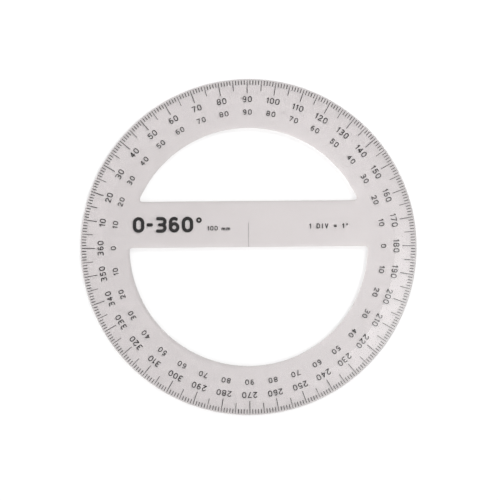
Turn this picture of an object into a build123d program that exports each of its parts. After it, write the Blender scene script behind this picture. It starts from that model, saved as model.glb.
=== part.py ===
from build123d import *
import os
from functools import lru_cache
from math import atan2, degrees

# Full-circle (360 degree) school protractor. The plastic is one clear moulding, a flat ring with a bevelled rim
# and a crossbar. The scales, centre line and legends are engraved in its underside and filled flush with black
# ink, so that they touch the paper and read through the plastic from above.
#
# Frame: the origin is the centre of the circle on the underside, +Z points up out of the reading face, +X
# points at 180 on the outer scale and +Y at 90. The base line is the X axis.

# ---- driving dimensions, in millimetres and degrees ----
outer_diameter = 100.0
ring_inner_diameter = 70.8
bar_width = 13.7  # the crossbar's lower edge is the base line, so the bar lies wholly above it
plastic_thickness = 1.5
rim_thickness = 0.7  # what the bevel leaves of the thickness at the rim
bevel_inner_diameter = 87.2
opening_corner_radius = 0.8
edge_round = 0.15
rim_round = 0.25

engraving_depth = 0.08
scale_radius = 49.6  # outer ends of all the ticks
one_degree_tick = (1.3, 0.2)  # length and width
five_degree_tick = (3.1, 0.15)
ten_degree_tick = (3.9, 0.17)
outer_numerals = {"radius": 44.0, "height": 1.7, "stroke": 0.23, "gap": 0.45}  # gap between digits
inner_numerals = {"radius": 40.2, "height": 1.55, "stroke": 0.21, "gap": 0.5}

centre_line_length = 7.4
centre_line_width = 0.07
title = {"text": "0-360°", "height": 4.7, "stroke": 1.0, "gap": 0.65, "centre": (-24.0, 6.85)}
size_note = {"text": "100 mm", "height": 1.35, "stroke": 0.22, "gap": 0.32, "centre": (-8.8, 5.7)}
division_note = {"text": "1 DIV = 1°", "height": 1.5, "stroke": 0.26, "gap": 0.52, "centre": (23.9, 6.1)}

# ---- worked out from them ----
outer_radius = outer_diameter / 2
ring_inner_radius = ring_inner_diameter / 2

# Pen strokes of each character. The unit is a quarter of the height of the pen's path, so a full-height
# character runs from -2 to 2, and most are 2.6 wide.
# ("line", x0, y0, x1, y1) is straight, and ("arc", centre x, centre y, radius, start angle, sweep) is round.
GLYPHS = {
    "0": [("arc", 0, 0.7, 1.3, 0, 180), ("arc", 0, -0.7, 1.3, 180, 180),
          ("line", -1.3, -0.7, -1.3, 0.7), ("line", 1.3, -0.7, 1.3, 0.7)],
    "1": [("line", 0.4, -2, 0.4, 2), ("line", 0.4, 2, -0.5, 1.1)],
    "2": [("arc", 0, 0.75, 1.25, -25, 190), ("line", 1.13, 0.22, -1.25, -2), ("line", -1.25, -2, 1.3, -2)],
    "3": [("line", -1, 2, 0.3, 2), ("arc", 0.3, 1, 1, -90, 180), ("line", -0.4, 0, 0.3, 0),
          ("arc", 0.3, -1, 1, -90, 180), ("line", 0.3, -2, -1.1, -2)],
    "4": [("line", 0.6, -2, 0.6, 2), ("line", 0.6, 2, -1.3, -0.8), ("line", -1.3, -0.8, 1.3, -0.8)],
    "5": [("line", 1.1, 2, -1, 2), ("line", -1, 2, -1, 0.1), ("arc", 0, -0.75, 1.25, -150, 283)],
    "6": [("arc", 0, -0.85, 1.15, 0, 360), ("line", -1.15, -0.85, -1.15, 0.85), ("arc", 0, 0.85, 1.15, 55, 125)],
    "7": [("line", -1.3, 2, 1.3, 2), ("line", 1.3, 2, -0.4, -2)],
    "8": [("arc", -0.2, 1, 1, 90, 180), ("arc", 0.2, 1, 1, -90, 180), ("line", -0.2, 2, 0.2, 2),
          ("arc", -0.3, -1, 1, 90, 180), ("arc", 0.3, -1, 1, -90, 180), ("line", -0.3, -2, 0.3, -2),
          ("line", -0.3, 0, 0.3, 0)],
    "9": [("arc", 0, 0.85, 1.15, 0, 360), ("line", 1.15, 0.85, 1.15, -0.85), ("arc", 0, -0.85, 1.15, -125, 125)],
    "D": [("line", -1.1, -2, -1.1, 2), ("line", -1.1, 2, 0, 2), ("line", -1.1, -2, 0, -2),
          ("arc", 0, 0.8, 1.2, 0, 90), ("line", 1.2, 0.8, 1.2, -0.8), ("arc", 0, -0.8, 1.2, -90, 90)],
    "I": [("line", 0, -2, 0, 2)],
    "V": [("line", -1.2, 2, 0, -2), ("line", 0, -2, 1.2, 2)],
    "m": [("line", -1.6, -2, -1.6, 0.2), ("arc", -0.8, -0.6, 0.8, 0, 180), ("line", 0, -2, 0, -0.6),
          ("arc", 0.8, -0.6, 0.8, 0, 180), ("line", 1.6, -2, 1.6, -0.6)],
    "-": [("line", -0.5, 0, 0.5, 0)],
    "=": [("line", -1.1, 0.6, 1.1, 0.6), ("line", -1.1, -0.6, 1.1, -0.6)],
    "°": [("arc", 0, 1.4, 0.6, 0, 360)],
    " ": [],
}
FULL_HALF_WIDTH = 1.3
HALF_WIDTHS = {
    "1": 0.5, "6": 1.2, "9": 1.2, "D": 1.2, "I": 0.3, "V": 1.2, "m": 1.6, "-": 0.5, "=": 1.1, "°": 0.6, " ": 0.5,
}


def pen_line(x0, y0, x1, y1, stroke):
    """A straight pen stroke with round ends."""
    run = Vector(x1 - x0, y1 - y0)
    turn = degrees(atan2(run.Y, run.X))
    return Pos((x0 + x1) / 2, (y0 + y1) / 2) * SlotCenterToCenter(run.length, stroke, rotation=turn)


def pen_arc(x, y, radius, start, sweep, stroke):
    """A round pen stroke with round ends, or a whole ring."""
    if sweep == 360:
        pen = min(stroke, radius)
        return Pos(x, y) * (Circle(radius + pen / 2) - Circle(radius - pen / 2))
    return SlotArc(CenterArc((x, y), radius, start, sweep), stroke)


@lru_cache(maxsize=None)
def glyph(character, height, stroke):
    """One character, centred on the origin, as the thin solid of ink that fills its engraving."""
    unit = (height - stroke) / 4
    face = Sketch()
    for kind, *numbers in GLYPHS[character]:
        if kind == "line":
            face += pen_line(*(unit * n for n in numbers), stroke)
        else:
            x, y, radius, start, sweep = numbers
            face += pen_arc(unit * x, unit * y, unit * radius, start, sweep, stroke)
    return extrude(face, engraving_depth)


def legend(text, height, stroke, gap, centre):
    """The characters of a text in a row, with the middle of the row at centre."""
    unit = (height - stroke) / 4
    widths = [2 * unit * HALF_WIDTHS.get(c, FULL_HALF_WIDTH) + stroke for c in text]
    x = -(sum(widths) + gap * (len(text) - 1)) / 2
    solids = []
    for character, width in zip(text, widths):
        if GLYPHS[character]:
            place = Pos(centre[0] + x + width / 2, centre[1])
            solids += (place * glyph(character, height, stroke)).solids()
        x += width + gap
    return solids


def polar(reading):
    """The polar angle of a reading of the outer scale, which runs clockwise from the base line's left end."""
    return 180 - reading


def numeral(number, reading, radius, height, stroke, gap):
    """A number at its place on a scale, with its top towards the rim."""
    upright = legend(str(number), height, stroke, gap, (0, radius))
    return [Rot(0, 0, polar(reading) - 90) * solid for solid in upright]


def ticks(readings, length, width):
    """One radial mark for each reading, ending at the scale's outer radius."""
    mark = extrude(Pos(scale_radius - length / 2, 0) * Rectangle(length, width), engraving_depth)
    return [Rot(0, 0, polar(reading)) * mark.solid() for reading in readings]


def quadrant(reading):
    """The inner scale's number there: it counts from both ends of the base line to 90 at top and bottom."""
    return min(reading % 180, -reading % 180)


def moulding():
    """The plastic before engraving: a disc with a bevelled rim, less two openings that leave ring and bar."""
    section = make_face(
        Polyline(
            (0, 0),
            (outer_radius, 0),
            (outer_radius, rim_thickness),
            (bevel_inner_diameter / 2, plastic_thickness),
            (0, plastic_thickness),
            close=True,
        )
    )
    disc = revolve(Plane.XZ * section, Axis.Z)
    rim_edges = disc.edges().filter_by(GeomType.CIRCLE).group_by(SortBy.RADIUS)[-1].sort_by(Axis.Z)
    disc = fillet(rim_edges[-1], rim_round)
    rim_edges = disc.edges().filter_by(GeomType.CIRCLE).group_by(Axis.Z)[0]
    disc = fillet(rim_edges, edge_round)
    for opening in (opening_face(bar_width, 1), opening_face(0, -1)):
        disc -= extrude(opening, plastic_thickness)
    return fillet([e for e in disc.edges() if is_opening_edge(e)], edge_round)


def opening_face(edge_y, side):
    """The part of the ring's inner circle on one side of a bar edge, with its two corners rounded."""
    half_plane = Pos(0, edge_y + side * outer_radius) * Rectangle(outer_diameter, outer_diameter)
    segment = Circle(ring_inner_radius) & half_plane
    return fillet(segment.vertices(), opening_corner_radius)


def is_opening_edge(edge):
    """True for an edge in the upper or lower face that bounds an opening, which the ring's width keeps apart
    from the edges of the bevel and the rim."""
    level = edge.bounding_box().size.Z < edge_round
    return level and (edge @ 0).length < (ring_inner_diameter + bevel_inner_diameter) / 4


tens = range(10, 361, 10)
fives = range(5, 361, 10)
ones = [reading for reading in range(1, 361) if reading % 5]
centre_mark = Pos(0, centre_line_length / 2) * Rectangle(centre_line_width, centre_line_length)
engravings = {
    "one_degree_ticks": ticks(ones, *one_degree_tick),
    "five_degree_ticks": ticks(fives, *five_degree_tick),
    "ten_degree_ticks": ticks(tens, *ten_degree_tick),
    "outer_scale_numerals": [s for t in tens for s in numeral(t, t, **outer_numerals)],
    "inner_scale_numerals": [s for t in tens for s in numeral(quadrant(t), t, **inner_numerals)],
    "centre_line": extrude(centre_mark, engraving_depth).solids(),
    "scale_title": legend(**title),
    "size_note": legend(**size_note),
    "division_note": legend(**division_note),
}

body = moulding() - [ink for group in engravings.values() for ink in group]

os.makedirs("parts", exist_ok=True)
for name, solids in {"protractor_body": body.solids(), **engravings}.items():
    export_step(Compound(solids), f"parts/{name}.step")
    print(name, len(solids), "solids")
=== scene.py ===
from math import radians

import bpy
from mathutils import Euler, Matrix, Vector


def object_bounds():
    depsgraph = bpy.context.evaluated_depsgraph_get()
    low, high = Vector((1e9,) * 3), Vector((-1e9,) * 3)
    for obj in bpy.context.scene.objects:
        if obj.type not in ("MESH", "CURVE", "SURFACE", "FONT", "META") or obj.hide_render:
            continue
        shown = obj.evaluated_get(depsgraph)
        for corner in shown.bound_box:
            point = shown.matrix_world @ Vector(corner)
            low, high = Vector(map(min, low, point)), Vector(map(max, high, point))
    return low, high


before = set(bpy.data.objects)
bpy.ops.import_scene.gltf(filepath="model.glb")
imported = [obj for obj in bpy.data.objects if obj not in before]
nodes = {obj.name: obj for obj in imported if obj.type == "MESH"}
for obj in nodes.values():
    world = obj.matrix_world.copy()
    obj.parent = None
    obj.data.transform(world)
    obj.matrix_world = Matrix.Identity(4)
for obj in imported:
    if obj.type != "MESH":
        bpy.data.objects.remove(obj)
cad_low, cad_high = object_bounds()
radius = (cad_high.x - cad_low.x) / 2

MM = 0.001

# ---- how the object is seen ----
VIEW_WIDTH = 2.973  # in outer radii, as the centre is
VIEW_CENTRE = (0.0086, -0.0175)
VIEW_ROLL = radians(-0.5)
CAMERA_HEIGHT = 0.9  # metres, far enough to look flat
SENSOR_WIDTH = 36.0  # millimetres, as Blender states sensors and lenses
CLIP_START = 10 * MM

# ---- what it is made of ----
PLASTIC_TINT = (0.775, 0.75, 0.75, 1)
SHADOW_TINT = (0.70, 0.69, 0.69, 1)
PLASTIC_IOR = 1.5
SCRATCH_TURNS = (0.3, 1.15, 2.4)  # radians
SCRATCH_ROUGHNESS = 0.05  # what a scratch adds
THICK_INK = (0.010, 0.006, 0.005, 1)
THIN_INK = (0.028, 0.020, 0.018, 1)
PAPER = (0.9, 0.9, 0.9, 1)
WHITE = (1, 1, 1, 1)

# ---- floor and light ----
FLOOR_HALF = 6.0  # metres
FLOOR_DROP = 0.15 * MM  # keeps the floor clear of the underside
TRAPPED_BOUNCES = 128  # reflections inside the plastic
THROUGH_BOUNCES = 32  # passes through its surfaces


# ---- small helpers for node trees ----
def new_material(name):
    material = bpy.data.materials.new(name)
    material.use_nodes = True
    tree = material.node_tree
    tree.nodes.clear()
    return material, tree


def add(tree, kind, settings=None, **inputs):
    """Adds a node with its settings, and sets or links its inputs by name, or by number as i0, i1."""
    node = tree.nodes.new("ShaderNode" + kind)
    for key, value in (settings or {}).items():
        setattr(node, key, value)
    for key, value in inputs.items():
        number = key.removeprefix("i")
        socket = node.inputs[int(number) if number.isdigit() else key.replace("_", " ")]
        if isinstance(value, bpy.types.NodeSocket):
            tree.links.new(value, socket)
        else:
            socket.default_value = value
    return node


def maths(tree, operation, *values):
    """The result of one Math operation on sockets or numbers."""
    inputs = {f"i{number}": value for number, value in enumerate(values)}
    return add(tree, "Math", {"operation": operation}, **inputs).outputs[0]


def noise(tree, place, scale, detail, stretch=(1, 1, 1), turn=0.0):
    """Noise with scale cells to the metre in the object's own frame, stretched and turned."""
    mapped = add(tree, "Mapping", Vector=place, Rotation=(0, 0, turn), Scale=stretch)
    return add(tree, "TexNoise", Vector=mapped.outputs[0], Scale=scale, Detail=detail).outputs[0]


def remap(tree, value, old, new):
    """Maps a value's old range to a new one, held at both ends."""
    return add(tree, "MapRange", i0=value, i1=old[0], i2=old[1], i3=new[0], i4=new[1]).outputs[0]


# ---- materials ----
def hairline_scratches(tree, place):
    """1 on thin straight scratches in three directions, and 0 between them."""
    scratched = 0.0
    for turn in SCRATCH_TURNS:
        hair = noise(tree, place, scale=900, detail=1, stretch=(1, 0.02, 1), turn=turn)
        scratched = maths(tree, "MAXIMUM", scratched, remap(tree, hair, old=(0.70, 0.74), new=(0, 1)))
    return scratched


def clear_plastic():
    """Clear styrene, slightly grey and warm, with moulding waviness, handling haze and scratches."""
    material, tree = new_material("clear_plastic")
    place = add(tree, "TexCoord").outputs["Object"]
    haze = noise(tree, place, scale=45, detail=4)
    smear = noise(tree, place, scale=160, detail=3, stretch=(1, 0.25, 1), turn=0.6)
    polish = remap(tree, maths(tree, "MULTIPLY", haze, smear), old=(0.15, 0.4), new=(0.02, 0.07))
    scratched = hairline_scratches(tree, place)
    roughness = maths(tree, "MULTIPLY_ADD", scratched, SCRATCH_ROUGHNESS, polish)
    wave = noise(tree, place, scale=30, detail=1)
    waviness = add(tree, "Bump", Strength=0.05, Distance=0.4 * MM, Height=wave).outputs[0]
    grooves = add(
        tree, "Bump", {"invert": True},
        Strength=0.04, Distance=0.02 * MM, Height=scratched, Normal=waviness,
    ).outputs[0]
    glass = add(
        tree, "BsdfPrincipled",
        Base_Color=PLASTIC_TINT, Roughness=roughness, Normal=grooves,
        IOR=PLASTIC_IOR, Transmission_Weight=1.0,
    ).outputs[0]
    # Shadow rays go straight through, so that the floor under the clear plastic isn't black.
    lamp_side = add(tree, "BsdfTransparent", Color=SHADOW_TINT).outputs[0]
    shadow_ray = add(tree, "LightPath").outputs["Is Shadow Ray"]
    both = add(tree, "MixShader", i0=shadow_ray, i1=glass, i2=lamp_side).outputs[0]
    add(tree, "OutputMaterial", Surface=both)
    return material


def black_ink():
    """Black ink wiped into the engraving, satin and grainy, and a little thinner in places."""
    material, tree = new_material("black_ink")
    place = add(tree, "TexCoord").outputs["Object"]
    grain = noise(tree, place, scale=2500, detail=3)
    patches = noise(tree, place, scale=300, detail=2)
    thinness = remap(tree, maths(tree, "MULTIPLY", grain, patches), old=(0.2, 0.42), new=(0, 1))
    # The Mix node's inputs 6 and 7 and its output 2 are its colours.
    colour = add(tree, "Mix", {"data_type": "RGBA"}, i0=thinness, i6=THICK_INK, i7=THIN_INK).outputs[2]
    roughness = remap(tree, grain, old=(0.3, 0.7), new=(0.38, 0.6))
    bump = add(tree, "Bump", Strength=0.15, Distance=0.01 * MM, Height=grain).outputs[0]
    satin = add(tree, "BsdfPrincipled", Base_Color=colour, Roughness=roughness, Normal=bump).outputs[0]
    add(tree, "OutputMaterial", Surface=satin)
    return material


def paper_white():
    """The plain pale floor."""
    material, tree = new_material("pale_floor")
    place = add(tree, "TexCoord").outputs["Object"]
    tooth = noise(tree, place, scale=1200, detail=3)
    bump = add(tree, "Bump", Strength=0.05, Distance=0.02 * MM, Height=tooth).outputs[0]
    matt = add(
        tree, "BsdfPrincipled", Base_Color=PAPER, Roughness=0.9, Specular_IOR_Level=0.0, Normal=bump
    ).outputs[0]
    add(tree, "OutputMaterial", Surface=matt)
    return material


def dress(piece, material):
    """Gives a piece one material in place of any it has."""
    piece.data.materials.clear()
    piece.data.materials.append(material)


# ---- stage ----
def floor():
    """A square floor just under the object."""
    level = cad_low.z - FLOOR_DROP
    signs = ((-1, -1), (1, -1), (1, 1), (-1, 1))
    corners = [(x * FLOOR_HALF, y * FLOOR_HALF, level) for x, y in signs]
    mesh = bpy.data.meshes.new("floor")
    mesh.from_pydata(corners, [], [(0, 1, 2, 3)])
    ob = bpy.data.objects.new("floor", mesh)
    bpy.context.scene.collection.objects.link(ob)
    dress(ob, paper_white())


def studio(strength, glow, towards, tightness):
    """A white room whose ceiling glows softly in one direction, which gives the bevel a broad sheen."""
    world = bpy.data.worlds.new("studio")
    world.use_nodes = True
    tree = world.node_tree
    tree.nodes.clear()
    direction = add(tree, "TexCoord").outputs["Generated"]
    aim = Vector(towards).normalized()
    facing = add(
        tree, "VectorMath", {"operation": "DOT_PRODUCT"}, i0=direction, i1=aim
    ).outputs["Value"]
    lobe = maths(tree, "POWER", maths(tree, "MAXIMUM", facing, 0.0), tightness)
    level = maths(tree, "MULTIPLY_ADD", lobe, glow, strength)
    background = add(tree, "Background", Color=WHITE, Strength=level).outputs[0]
    add(tree, "OutputWorld", Surface=background)
    bpy.context.scene.world = world


def softbox(name, towards, distance, size, watts):
    """A square area light that looks at the object from the direction towards."""
    light = bpy.data.lights.new(name, "AREA")
    light.shape = "SQUARE"
    light.size = size
    light.energy = watts
    ob = bpy.data.objects.new(name, light)
    direction = Vector(towards).normalized()
    ob.location = direction * distance
    ob.rotation_euler = direction.to_track_quat("Z", "Y").to_euler()
    bpy.context.scene.collection.objects.link(ob)


def camera():
    """A camera that looks straight down and frames VIEW_WIDTH at the height of the object's top."""
    data = bpy.data.cameras.new("camera")
    data.sensor_width = SENSOR_WIDTH
    data.lens = SENSOR_WIDTH * (CAMERA_HEIGHT - cad_high.z) / (VIEW_WIDTH * radius)
    data.clip_start = CLIP_START
    ob = bpy.data.objects.new("camera", data)
    bpy.context.scene.collection.objects.link(ob)
    turn = Euler((0, 0, VIEW_ROLL))
    centre = Vector((*VIEW_CENTRE, 0)) * radius
    centre.rotate(turn)
    ob.location = (centre.x, centre.y, CAMERA_HEIGHT)
    ob.rotation_euler = turn
    bpy.context.scene.camera = ob


plastic = clear_plastic()
ink = black_ink()
for name, node in nodes.items():
    dress(node, plastic if name == "protractor_body" else ink)

floor()
studio(strength=0.72, glow=4.0, towards=(0.27, -0.125, 1.0), tightness=60)
softbox("key", towards=(0.7, 0.6, 1.0), distance=1.2, size=0.7, watts=8)
camera()
bpy.context.scene.view_settings.view_transform = "Standard"

# Light that the bevel, the edges and the crossbar trap needs many bounces to leave the plastic again.
paths = bpy.context.scene.cycles
paths.max_bounces = TRAPPED_BOUNCES
paths.glossy_bounces = TRAPPED_BOUNCES
paths.transmission_bounces = THROUGH_BOUNCES
